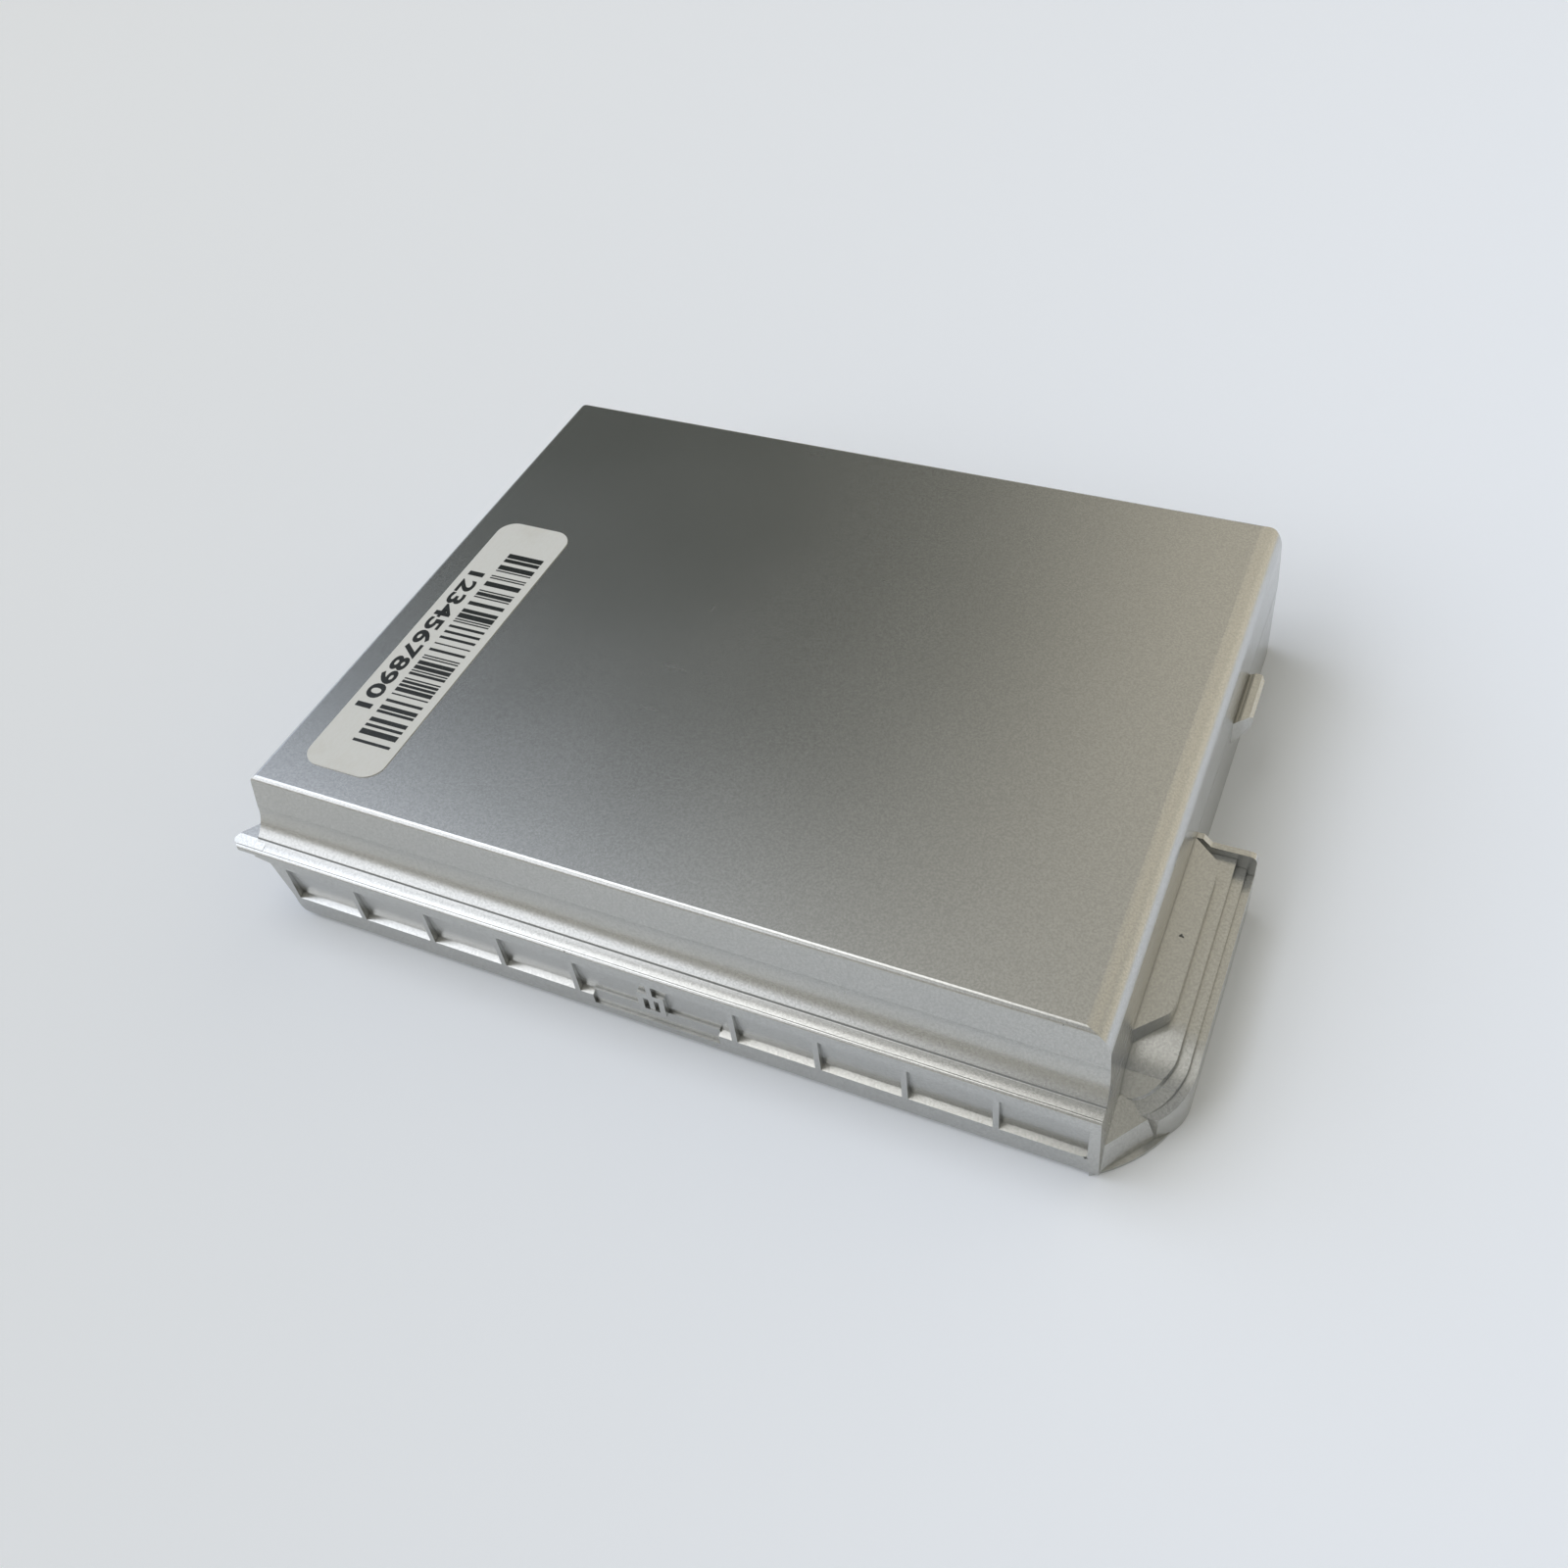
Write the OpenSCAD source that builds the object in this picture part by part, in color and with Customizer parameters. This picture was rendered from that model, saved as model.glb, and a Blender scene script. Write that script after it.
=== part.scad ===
// Removable battery pack of a tablet computer: two painted mouldings joined at
// a seam, six round cells side by side, and a protection board with the contact
// block behind them.
//
// Axes: +X to the right along the ribbed front, +Y to the contact side, +Z up.
// The modules work in the case frame, whose corner is the foot of the cover's
// front left edge on the table; in_place() moves it to the part's own origin,
// under the middle of the whole pack.

/* [Case] */
// Width of the cover along the front edge
case_w = 124; // [112:1:140]
// Depth of the cover from the front edge to the contact side
case_d = 98.5; // [94:0.5:120]
// Thickness of the closed pack
case_h = 23.8; // [23.4:0.1:27]
// Wall of both mouldings
wall = 1.6; // [1.2:0.1:2]
// Height of the seam between cover and case above the table
seam_z = 14.1; // [13.6:0.1:15]
// How far the right wall leans out between the top and the seam
side_draft = 0.9; // [0.3:0.1:1.4]
// Rounding of the long right edge of the cover
right_edge_r = 3.5; // [2:0.1:5]
// Rounding of the other edges of the cover
top_edge_r = 0.8; // [0.4:0.1:1.2]
// Rounding of the upright corners at the back
corner_r = 2.5; // [1.5:0.1:4]
// Rounding of the case's edges on the table
foot_edge_r = 1.2; // [0.6:0.1:1.5]

/* [Front sweep and flange] */
// Lean of the front wall down to where the sweep starts
front_draft = 0.9; // [0.4:0.1:1.2]
// Radius of the hollow sweep that runs out into the flange
sweep_r = 5.5; // [5:0.1:6.5]
// Drop from the top of the cover to the start of the sweep
sweep_drop = 5.2; // [4.6:0.1:5.6]
// How far the flange stands out in front of the cover's top edge
flange_reach = 5.1; // [4.4:0.1:5.6]
// How far the flange's pointed wing stands out on the left
wing_reach = 3.7; // [2:0.1:6]
// Thickness of the wing
wing_t = 1.2; // [0.8:0.1:1.6]
// Lean of the ribbed front from the flange down to the table
lip_draft = 0.45; // [0.2:0.05:0.6]

/* [Ribs] */
// Number of shallow pockets along the front
pocket_count = 10; // [6:2:12]
// Width of the rib between two pockets
rib_w = 0.8; // [0.6:0.1:1.6]
// Height of the pockets' lower edge above the table
ledge_z = 4.3; // [3.8:0.1:5]
// Height of the pockets' upper edge above the table
pocket_top_z = 11; // [10.2:0.1:11.6]
// Depth of a pocket at its upper edge
pocket_top_depth = 0.35; // [0.2:0.05:0.5]
// Depth of a pocket at its lower edge
pocket_foot_depth = 0.95; // [0.7:0.05:1.1]
// Width of the set-back panel under the middle rib
panel_w = 19.1; // [14:0.1:21]
// Depth by which the panel is set back
panel_depth = 0.45; // [0.3:0.05:0.6]
// Height of the panel's lower edge above the table
panel_z = 2.45; // [1.8:0.05:3]
// Width of the small boss on the middle rib
boss_w = 4; // [3:0.1:6]
// Height of the boss's top above the table
boss_top_z = 8.9; // [8:0.1:9.8]
// Side of the square window in the boss
boss_window = 2.3; // [1.2:0.1:2.6]

/* [Foot and catch] */
// How far the stepped foot stands out past the cover on the right
foot_reach = 9.3; // [8.5:0.1:12]
// Distance of the foot's far end from the cover's front edge
foot_end = 42.6; // [34:0.1:55]
// Height of the lowest step at the outer edge
step_low_z = 8.8; // [8:0.1:9.2]
// Height of the middle step
step_mid_z = 9.8; // [9.4:0.1:10.4]
// Height of the inner step
step_high_z = 11.3; // [10.8:0.1:12]
// Height of the raised pad beside the wall
pad_z = 13.6; // [12.6:0.1:13.9]
// Width of the low step at the outer edge
step_low_w = 1.1; // [0.8:0.1:2]
// Width of the middle step
step_mid_w = 1.5; // [0.8:0.1:2]
// Width of the inner step
step_high_w = 1.8; // [1:0.1:2.4]
// Radius of the foot's front corner, seen from above
foot_corner_r = 20; // [17:0.5:22]
// Radius over which the steps bend down to the front
bend_r = 13.6; // [11:0.1:18]
// Thickness of the upright wall that closes the foot's far end
foot_wall = 1; // [0.8:0.1:1.6]
// Drop from the pad to the top of the foot's end wall
foot_wall_drop = 1.2; // [0.6:0.1:2]
// Distance of the side catch from the cover's front edge
catch_y = 66.2; // [58:0.1:80]
// Height of the side catch at its outer edge
catch_h = 2.1; // [1.4:0.1:3]
// Length of the side catch
catch_len = 9.5; // [6:0.1:12]
// How far the catch stands out from the wall
catch_reach = 2.4; // [1.2:0.1:3]

/* [Cells] */
// Diameter of one cell in its sleeve
cell_d = 18.4; // [18:0.1:18.6]
// Length of one cell
cell_len = 65.2; // [60:0.1:66]
// Spacing of the cells from axis to axis
cell_pitch = 19; // [18.8:0.1:19.3]
// Thickness of the nickel strips
strip_t = 0.2; // [0.15:0.05:0.3]
// Width of the nickel strips
strip_w = 6; // [4:0.5:7]
// Thickness of the insulating sheets over the strips
sheet_t = 0.4; // [0.2:0.1:0.6]
// Length of cradle along the cells
cradle_w = 5; // [3:0.5:10]
// Distance of a cradle from the cells' end
cradle_inset = 8; // [4:1:16]

/* [Board and contacts] */
// Length of the protection board
board_len = 96; // [80:1:104]
// Depth of the protection board
board_w = 16; // [14:0.5:18]
// Thickness of the protection board
board_t = 1.2; // [0.8:0.1:1.6]
// Height of the board's underside above the case floor
board_rise = 4; // [3:0.1:5]
// Number of contact slots
contact_count = 7; // [5:1:9]
// Spacing of the contact slots
contact_pitch = 4; // [3.5:0.1:4.5]
// Width of one contact slot
slot_w = 1.4; // [1.2:0.1:2]
// Height of the contact block
block_h = 7.5; // [6.5:0.1:8]

/* [Label] */
// Length of the paper label
label_len = 58; // [40:1:70]
// Width of the paper label
label_w = 13; // [9:0.5:16]
// Rounding of the label's corners
label_r = 3; // [1:0.5:4]
// Distance of the label from the cover's left edge
label_x = 4.9; // [3:0.1:12]
// Distance of the label from the cover's front edge
label_y = 5.2; // [3:0.1:16]

/* [Hidden] */

// Mesh quality of the round forms
$fn = 96;
// Overlap that joins the pieces of one solid
joint_overlap = 0.05;
// Clearance between pieces that are fitted into each other
fit_gap = 0.15;
// A length that reaches past everything in a cut
beyond = 200;

// Lengths of the sweep's section
sweep_z = case_h - sweep_drop;
sweep_y = -front_draft - sweep_r;
seam_y = sweep_y + sqrt(pow(sweep_r, 2) - pow(sweep_z - seam_z, 2));
flange_z = sweep_z - sqrt(pow(sweep_r, 2) - pow(-flange_reach - sweep_y, 2));
flange_edge_r = 0.45;

// Tongue of the cover and the rebate of the case that takes it
tongue_t = 0.7;
tongue_h = 1.1;

// Outer limits of the mouldings on the right
seam_right = case_w + side_draft;
foot_right = case_w + foot_reach;

// Left side of the case under its rail
rail_z = 12;
rail_inset = 2.6;
left_inset = 4.1;
left_corner_r = 3.2;

// Cavity at the seam, shared by both mouldings
cavity_front = sweep_y + sqrt(pow(sweep_r + wall, 2) - pow(sweep_z - seam_z, 2));
cavity_left = wall;
cavity_right = seam_right - wall;
cavity_back = case_d - wall;
cavity_cut = 1.5;
case_cavity_left = left_inset + wall;
case_cavity_front = -flange_reach + lip_draft + pocket_foot_depth + wall;

// Pockets along the front
rib_end_gap = 4.7;
pocket_right = seam_right - 1.3;
rib_pitch = (pocket_right + rib_w / 2 - rib_end_gap) / pocket_count;
panel_x = rib_end_gap + rib_pitch * pocket_count / 2 - panel_w / 2;
panel_top_z = ledge_z + 0.8;

// Plan lines of the foot: its steps turn round one point at the front corner
step_mid_x = foot_right - step_low_w;
step_high_x = step_mid_x - step_mid_w;
pad_right = step_high_x - step_high_w;
turn_x = seam_right + 0.5;
turn_y = 9.2;
foot_corner_y = 12.2;
foot_wall_z = pad_z - foot_wall_drop;

// Bend of the steps down to the nose, and the steep apron in front of it
foot_bend_y = 13.4;
foot_crease_y = 6;
foot_nose_y = 3;
foot_nose_z = 4.6;
apron_angle = 36;
apron_set = 0.9;
apron_lip_z = 0.5;
apron_top_z = foot_nose_z + 1.6;

// How much further down the catch and the pockets' ledges reach
catch_brace = 2.8;
ledge_rise = 0.35;

// Row of cells
cell_r = cell_d / 2;
cell_front = wall + sheet_t + strip_t;
cell_rear = cell_front + cell_len;
cell_rise = 1;
cell_z = wall + cell_rise + cell_r;
cells_mid = (case_cavity_left + cavity_right) / 2;
function cell_x(i) = cells_mid + (i - 2.5) * cell_pitch;

// Leads in the valleys between the cells, clear of the strips below them
lead_d = 1.6;
lead_gap = 0.2;
lead_rise = max(
    sqrt(pow(cell_r + lead_d / 2 + lead_gap, 2) - pow(cell_pitch / 2, 2)),
    strip_w / 2 + lead_d / 2 + lead_gap
);
bead_d = 2.4;
bead_rise = sqrt(pow(cell_r + bead_d / 2 + lead_gap, 2) - pow(cell_pitch / 2, 2));
bead_len = 5;
bead_back = 25;

// Partition that holds the row of cells against the front
partition_y = cell_rear + strip_t + sheet_t;
partition_t = 1.2;
partition_top = seam_z - tongue_h - 1;
rear_sheet_top = cell_z + strip_w / 2 - strip_t - lead_gap;

// Contact block and protection board behind the cells
block_len = contact_count * contact_pitch + 4;
block_depth = 6;
block_x = cells_mid - block_len / 2;
block_z = wall + 1;
block_y = case_d - block_depth;
board_x = cells_mid - board_len / 2;
board_z = wall + board_rise;
board_y = block_y - board_w - fit_gap;
board_top = board_z + board_t;
slot_floor = 1.5;
tail_w = 0.6;

// Moves a piece from the case frame to the part's frame
module in_place() {
    translate([-(foot_right - wing_reach) / 2, -(case_d - flange_reach) / 2, 0])
        children();
}

// Extrudes a section drawn in Y and Z along X
module along_x(from, to) {
    translate([from, 0, 0])
        rotate([90, 0, 90])
            linear_extrude(to - from)
                children();
}

// Extrudes a section drawn in X and Z along Y
module along_y(from, to) {
    translate([0, to, 0])
        rotate([90, 0, 0])
            linear_extrude(to - from)
                children();
}

// Extrudes a plan drawn in X and Y between two heights
module along_z(from, to) {
    translate([0, 0, from])
        linear_extrude(to - from)
            children();
}

// Waste outside a rounded corner; the corner is at the origin, the body at +X +Y
module corner_waste(r) {
    difference() {
        translate([-1, -1])
            square(r + 1);
        translate([r, r])
            circle(r);
    }
}

// Rectangle from one point to another with all corners rounded
module rounded_rect(x0, y0, x1, y1, r) {
    translate([x0 + r, y0])
        square([x1 - x0 - 2 * r, y1 - y0]);
    translate([x0, y0 + r])
        square([x1 - x0, y1 - y0 - 2 * r]);
    for (x = [x0 + r, x1 - r], y = [y0 + r, y1 - r])
        translate([x, y])
            circle(r);
}

// Rectangle from one point to another with all corners cut at 45 degrees
module cut_rect(x0, y0, x1, y1, c) {
    polygon([
        [x0 + c, y0],
        [x1 - c, y0],
        [x1, y0 + c],
        [x1, y1 - c],
        [x1 - c, y1],
        [x0 + c, y1],
        [x0, y1 - c],
        [x0, y0 + c]
    ]);
}

// Box between two opposite corners
module box(x, y, z) {
    translate([x[0], y[0], z[0]])
        cube([x[1] - x[0], y[1] - y[0], z[1] - z[0]]);
}

// Plan of the cover and case without foot and wing
module case_plan() {
    difference() {
        translate([0, -flange_reach])
            square([beyond, case_d + flange_reach]);
        translate([0, case_d])
            rotate(270)
                corner_waste(corner_r);
        translate([seam_right, case_d])
            rotate(180)
                corner_waste(corner_r);
    }
}

// Space in front of the cover: the leaning wall and the hollow sweep,
// moved inwards by inset for the inner face
module front_space(inset) {
    translate([inset, 0])
        polygon([
            [-beyond, case_h + 1],
            [0, case_h + 1],
            [0, case_h],
            [-front_draft, sweep_z],
            [-beyond, sweep_z]
        ]);
    translate([sweep_y, sweep_z])
        circle(sweep_r + inset);
}

// Section of the cover from front to back
module cover_side_section() {
    difference() {
        translate([sweep_y, seam_z - tongue_h])
            square([case_d - sweep_y, case_h - seam_z + tongue_h]);
        front_space(0);
        translate([-front_draft * top_edge_r / sweep_drop, case_h])
            rotate(270)
                corner_waste(top_edge_r);
        translate([case_d, case_h])
            rotate(180)
                corner_waste(top_edge_r);
    }
}

// Section of the cover from left to right, with the large right edge
module cover_front_section() {
    difference() {
        polygon([
            [0, seam_z - tongue_h],
            [seam_right, seam_z - tongue_h],
            [seam_right, seam_z],
            [case_w, case_h],
            [0, case_h]
        ]);
        translate([case_w + side_draft * right_edge_r / (case_h - seam_z), case_h])
            rotate(180)
                corner_waste(right_edge_r);
        translate([0, case_h])
            rotate(270)
                corner_waste(top_edge_r);
    }
}

// Plan of the shared cavity, grown outwards for the tongue and its rebate
module cavity_plan(grow) {
    cut_rect(cavity_left - grow, cavity_front - grow,
        cavity_right + grow, cavity_back + grow, cavity_cut);
}

// Space inside the cover
module cover_cavity() {
    difference() {
        along_z(seam_z - tongue_h - 1, case_h - wall)
            cavity_plan(0);
        along_x(-1, case_w + foot_reach)
            difference() {
                front_space(wall);
                translate([-beyond, -beyond])
                    square([2 * beyond, beyond + seam_z]);
            }
    }
}

// Upper moulding: flat top, leaning front and the hollow sweep to the seam
module top_cover() {
    color("silver")
        difference() {
            union() {
                intersection() {
                    along_x(0, case_w + side_draft)
                        cover_side_section();
                    along_y(sweep_y, case_d)
                        cover_front_section();
                    along_z(seam_z, case_h)
                        case_plan();
                }
                along_z(seam_z - tongue_h, seam_z + joint_overlap)
                    cavity_plan(tongue_t);
            }
            cover_cavity();
        }
}

// Front of the case at a height: it leans back towards the table
function lip_y(z) = -flange_reach + lip_draft * (flange_z - z) / flange_z;

// Section of the case from front to back, with the flange at the top
module case_side_section() {
    difference() {
        polygon([
            [lip_y(0), 0],
            [case_d, 0],
            [case_d, seam_z],
            [seam_y, seam_z],
            [-flange_reach, seam_z],
            [-flange_reach, flange_z - flange_edge_r]
        ]);
        translate([sweep_y, sweep_z])
            circle(sweep_r);
        translate([-flange_reach, flange_z])
            rotate(270)
                corner_waste(flange_edge_r);
        translate([lip_y(0), 0])
            corner_waste(foot_edge_r);
        translate([case_d, 0])
            rotate(90)
                corner_waste(foot_edge_r);
    }
}

// Section of the case from left to right, with the rail on the left
module case_front_section() {
    difference() {
        polygon([
            [0, seam_z],
            [0, rail_z],
            [rail_inset, rail_z - 0.5],
            [left_inset, ledge_z],
            [left_inset, 0],
            [seam_right + 0.3, 0],
            [seam_right, seam_z]
        ]);
        translate([left_inset, 0])
            corner_waste(left_corner_r);
    }
}

// Pointed wing at the left end of the flange
module wing() {
    intersection() {
        along_z(flange_z - wing_t, seam_z)
            difference() {
                polygon([
                    [wall, 3],
                    [0, 1.5],
                    [-wing_reach, -flange_reach + 1.2],
                    [-wing_reach, -flange_reach + 0.8],
                    [-wing_reach + 0.8, -flange_reach],
                    [wall, -flange_reach]
                ]);
            }
        along_x(-wing_reach, wall)
            difference() {
                polygon([
                    [3, flange_z - wing_t],
                    [3, seam_z - 0.1],
                    [seam_y, seam_z - 0.1],
                    [-flange_reach, flange_z],
                    [-flange_reach, flange_z - wing_t]
                ]);
                translate([-flange_reach, flange_z])
                    rotate(270)
                        corner_waste(flange_edge_r);
                translate([-flange_reach, flange_z - wing_t])
                    corner_waste(flange_edge_r);
            }
    }
}

// Waste of one pocket between two ribs
module pocket(x0, x1) {
    front_y = -flange_reach - 1;
    ledge_fall = ledge_rise * (lip_y(ledge_z) - front_y) / pocket_foot_depth;
    along_x(x0, x1)
        polygon([
            [front_y, ledge_z - ledge_fall],
            [lip_y(ledge_z) + pocket_foot_depth, ledge_z + ledge_rise],
            [lip_y(pocket_top_z) + pocket_top_depth, pocket_top_z],
            [front_y, pocket_top_z]
        ]);
}

// All pockets; the last one ends at the right corner
module pockets() {
    for (i = [0 : pocket_count - 1]) {
        rib_x = rib_end_gap + i * rib_pitch;
        pocket(rib_x + rib_w / 2, rib_x + rib_pitch - rib_w / 2);
    }
}

// Panel set back into the lip under the middle rib
module panel_waste() {
    box([panel_x, panel_x + panel_w], [-flange_reach - 1, lip_y(panel_z) + panel_depth],
        [panel_z, panel_top_z]);
}

// Raised edge over the panel, with the small boss and its square window
module panel_face() {
    face_y = lip_y(panel_z) + panel_depth;
    mid = panel_x + panel_w / 2;
    difference() {
        union() {
            box([panel_x, panel_x + panel_w], [face_y, face_y + 1.2], [panel_z, panel_top_z]);
            box([mid - boss_w / 2, mid + boss_w / 2], [lip_y(boss_top_z), face_y + 1.2],
                [panel_top_z - joint_overlap, boss_top_z]);
        }
        box([mid - boss_window / 2, mid + boss_window / 2],
            [-flange_reach - 1, lip_y(boss_top_z) + 0.6],
            [panel_top_z + 0.5, panel_top_z + 0.5 + boss_window]);
    }
}

// Plan of one step of the foot: straight outer edge, turned round the corner point
module step_plan(right) {
    intersection() {
        translate([case_w - wall, -flange_reach])
            square([right - case_w + wall, foot_end + flange_reach]);
        union() {
            translate([turn_x, turn_y])
                circle(right - turn_x);
            translate([case_w - wall, turn_y])
                square([foot_reach + wall, foot_end]);
        }
    }
}

// Section of one step along Y: flat, bent down to the crease, then a steep nose
module step_section(top) {
    bend_drop = bend_r - sqrt(pow(bend_r, 2) - pow(foot_bend_y - foot_crease_y, 2));
    intersection() {
        union() {
            translate([foot_bend_y, top - bend_r])
                circle(bend_r);
            translate([foot_bend_y, 0])
                square([foot_end, top]);
        }
        translate([foot_crease_y, 0])
            square([foot_end - foot_crease_y, top + 1]);
    }
    polygon([
        [foot_nose_y, 0],
        [foot_crease_y + joint_overlap, 0],
        [foot_crease_y + joint_overlap, top - bend_drop - joint_overlap],
        [foot_nose_y, foot_nose_z]
    ]);
}

// One step of the foot
module foot_step(right, top) {
    intersection() {
        along_z(0, top)
            step_plan(right);
        along_x(case_w - wall, right)
            step_section(top);
    }
}

// Apron in front of the steps: a thin lip, a steep face across the corner, a shoulder
module foot_apron() {
    face = foot_corner_r - apron_set;
    intersection() {
        along_z(0, apron_top_z)
            intersection() {
                translate([foot_right - foot_corner_r, foot_corner_y])
                    circle(foot_corner_r);
                translate([case_w, lip_y(0)])
                    square([foot_reach + 1, turn_y - lip_y(0)]);
            }
        translate([foot_right - foot_corner_r, foot_corner_y, 0])
            rotate(-apron_angle)
                along_y(-foot_corner_r, foot_corner_r)
                    polygon([
                        [0, 0],
                        [foot_corner_r + 1, 0],
                        [foot_corner_r + 1, apron_lip_z],
                        [face, apron_lip_z],
                        [face - 1, foot_nose_z - 0.4],
                        [face - 4.5, apron_top_z],
                        [0, apron_top_z]
                    ]);
    }
}

// Raised pad beside the wall, with slanted ends
module foot_pad() {
    pad_back = foot_end - foot_wall;
    along_z(step_low_z, pad_z)
        polygon([
            [case_w, pad_back + joint_overlap],
            [case_w, turn_y - 1.4],
            [seam_right, turn_y - 0.5],
            [pad_right - 0.86, 12.1],
            [pad_right - 0.33, 12.8],
            [pad_right - 0.12, 13.9],
            [pad_right, 15.2],
            [pad_right, pad_back - 5],
            [pad_right - 0.6, pad_back - 3],
            [seam_right, pad_back]
        ]);
}

// Upright wall at the foot's far end, sloped up to the pad beside the case
module foot_end_wall() {
    slope_x = seam_right + 1;
    along_y(foot_end - foot_wall, foot_end)
        difference() {
            polygon([
                [case_w, 0],
                [foot_right, 0],
                [foot_right, foot_wall_z],
                [slope_x + foot_wall_drop, foot_wall_z],
                [slope_x, pad_z],
                [case_w, pad_z]
            ]);
            translate([foot_right, foot_wall_z])
                rotate(180)
                    corner_waste(1);
        }
}

// Stepped foot on the right of the case
module foot() {
    foot_step(foot_right, step_low_z);
    foot_step(step_mid_x, step_mid_z);
    foot_step(step_high_x, step_high_z);
    foot_apron();
    foot_pad();
    foot_end_wall();
}

// Hollow under the foot's steps
module foot_hollow() {
    box([cavity_right - wall, foot_right - wall], [foot_corner_y, foot_end - foot_wall - wall],
        [wall, step_low_z - wall]);
    box([cavity_right - wall, pad_right - wall], [foot_corner_y + 4, foot_end - 8],
        [wall, step_high_z - wall]);
}

// Side catch on the right wall, braced from below, with a lead-in at the front
module side_catch() {
    catch_end = catch_y + catch_len;
    catch_right = seam_right + catch_reach;
    catch_z = seam_z - catch_h;
    intersection() {
        along_z(catch_z - catch_brace - 1, seam_z)
            polygon([
                [case_w, catch_end],
                [catch_right - 0.5, catch_end],
                [catch_right, catch_end - 0.8],
                [catch_right, catch_y + 0.6],
                [seam_right + catch_reach / 2, catch_y - 0.8],
                [seam_right, catch_y - 1.6],
                [case_w, catch_y - 1.6]
            ]);
        along_y(catch_y - 2, catch_end + 1)
            polygon([
                [case_w, catch_z - catch_brace - 0.6],
                [seam_right, catch_z - catch_brace],
                [catch_right, catch_z],
                [catch_right, seam_z - 0.7],
                [catch_right - 0.5, seam_z - 0.2],
                [seam_right + 0.9, seam_z - 0.2],
                [case_w, seam_z - 1.1]
            ]);
    }
}

// Cradles under the cells
module cradles() {
    difference() {
        for (y = [cell_front + cradle_inset, cell_rear - cradle_inset - cradle_w]) {
            box([case_cavity_left - joint_overlap, cavity_right + joint_overlap],
                [y, y + cradle_w], [wall - joint_overlap, cell_z - cell_r / 3]);
        }
        for (i = [0 : 5]) {
            translate([cell_x(i), 0, cell_z])
                rotate([-90, 0, 0])
                    cylinder(r = cell_r + fit_gap, h = cell_rear + 5);
        }
    }
}

// Ribs of the case that stop the row of cells at the front
module front_stops() {
    for (i = [0 : 5]) {
        box([cell_x(i) - 0.6, cell_x(i) + 0.6], [case_cavity_front - joint_overlap, wall],
            [wall - joint_overlap, partition_top]);
    }
}

// Partition behind the cells
module partition() {
    box([case_cavity_left - joint_overlap, cavity_right + joint_overlap],
        [partition_y, partition_y + partition_t], [wall - joint_overlap, partition_top]);
}

// Posts that carry the protection board
module board_posts() {
    for (x = [board_x + 6, cells_mid - 18, cells_mid + 18, board_x + board_len - 6]) {
        translate([x, board_y + board_w / 2, wall - joint_overlap])
            cylinder(d = 4, h = board_rise + joint_overlap);
    }
}

// Space inside the case
module case_cavity() {
    along_z(wall, seam_z + 1)
        cut_rect(case_cavity_left, case_cavity_front, cavity_right, cavity_back, cavity_cut);
    along_z(seam_z - tongue_h - fit_gap, seam_z + 1)
        cavity_plan(tongue_t + fit_gap);
}

// Window in the back wall for the contact block
module block_window() {
    box([block_x, block_x + block_len], [block_y + 1, case_d + 1],
        [block_z, block_z + block_h]);
}

// Lower moulding: flange, ribbed front, stepped foot, catch and cell cradles
module bottom_case() {
    color("silver") {
        difference() {
            union() {
                difference() {
                    intersection() {
                        along_x(0, seam_right + 0.3)
                            case_side_section();
                        along_y(-flange_reach, case_d)
                            case_front_section();
                        along_z(0, seam_z)
                            case_plan();
                    }
                    pockets();
                    panel_waste();
                }
                panel_face();
                wing();
                foot();
                side_catch();
            }
            case_cavity();
            foot_hollow();
            block_window();
        }
        cradles();
        front_stops();
        partition();
        board_posts();
    }
}

// Paper label stuck on the cover
module paper_label() {
    color("ivory")
        along_z(case_h, case_h + 0.12)
            rounded_rect(label_x, label_y, label_x + label_w, label_y + label_len, label_r);
}

// One cell: rolled can with a crimp groove and a raised positive button;
// facing is 1 with the button at the front and -1 with it at the rear
module cell(i, facing) {
    button_h = 0.9;
    button_d = 6;
    can_len = cell_len - button_h;
    color("teal")
        translate([cell_x(i), (cell_front + cell_rear) / 2, cell_z])
            rotate([90 * facing, 0, 0])
                translate([0, 0, -cell_len / 2])
                    difference() {
                        union() {
                            cylinder(d = cell_d, h = can_len);
                            cylinder(d = button_d, h = cell_len);
                        }
                        translate([0, 0, can_len - 3.2])
                            rotate_extrude()
                                translate([cell_r, 0])
                                    circle(0.7);
                        translate([0, 0, can_len - 0.5])
                            difference() {
                                cylinder(d = cell_d - 3, h = 1);
                                cylinder(d = button_d, h = 1);
                            }
                    }
}

// Nickel strip across the ends of a run of cells, slit at each weld
module strip_plate(first, last, y) {
    difference() {
        box([cell_x(first) - strip_w / 2, cell_x(last) + strip_w / 2],
            [y, y + strip_t], [cell_z - strip_w / 2, cell_z + strip_w / 2]);
        for (i = [first : last]) {
            box([cell_x(i) - 0.4, cell_x(i) + 0.4], [y - 1, y + 1],
                [cell_z - strip_w / 2 - 1, cell_z - 1]);
        }
    }
}

// Front strip with the lug that takes a lead in the valley after cell lug_at
module front_strip(first, last, lug_at) {
    lug_x = (cell_x(lug_at) + cell_x(lug_at + 1)) / 2;
    y = cell_front - strip_t;
    color("gainsboro") {
        strip_plate(first, last, y);
        box([lug_x - lead_d, lug_x + lead_d], [y, y + strip_t],
            [cell_z, cell_z + lead_rise + lead_d / 2]);
    }
}

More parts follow.
